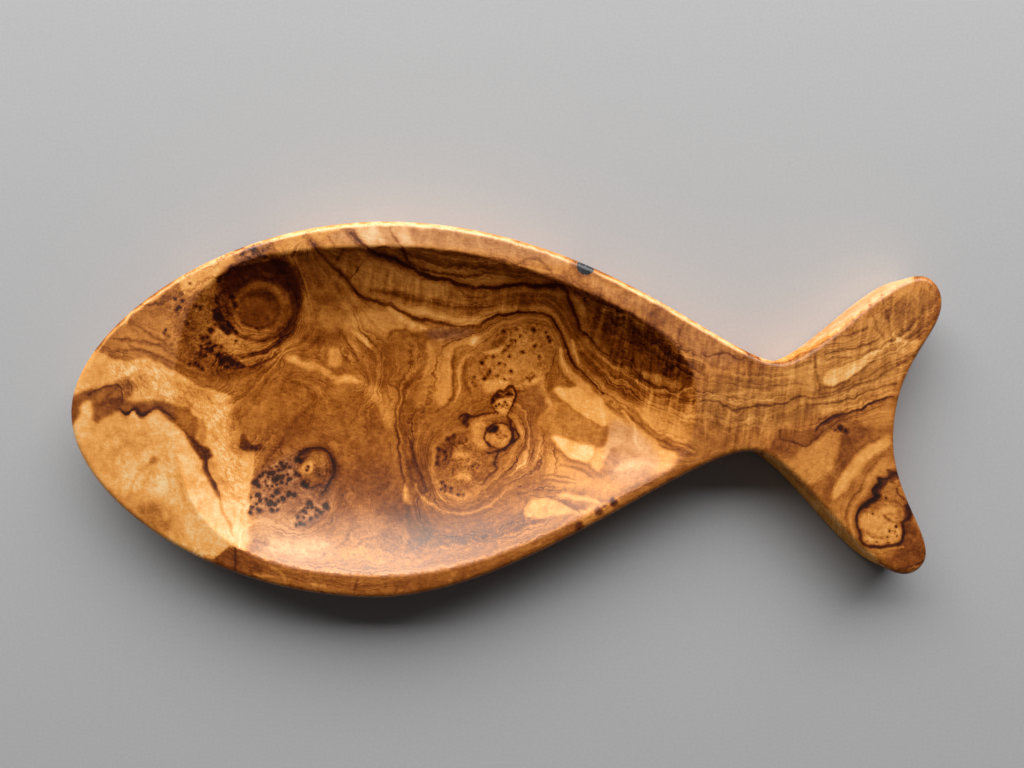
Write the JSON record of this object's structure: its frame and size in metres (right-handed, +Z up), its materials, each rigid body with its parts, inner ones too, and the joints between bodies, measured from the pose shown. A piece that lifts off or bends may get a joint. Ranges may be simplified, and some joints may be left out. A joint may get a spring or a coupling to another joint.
{
  "type": "fish-shaped wooden dish",
  "caption": "Flat fish-shaped serving dish carved from one board of figured olive wood, with a shallow hollow in the body, a narrow waist, a forked tail and a resin-filled knot hole in the rim.",
  "frame": {"origin": "middle of the box of the dish, on the flat base", "axes": "+X from the nose to the tail, +Y towards the back of the fish, +Z up out of the hollow"},
  "size_m": [0.28, 0.121, 0.02],
  "materials": {
    "olive_wood": "sanded and oiled, satin",
    "filler": "resin sanded flush"
  },
  "bodies": {
    "root": {"dish_body": "olive_wood", "rim_filler": "filler"}
  },
  "joints": []
}
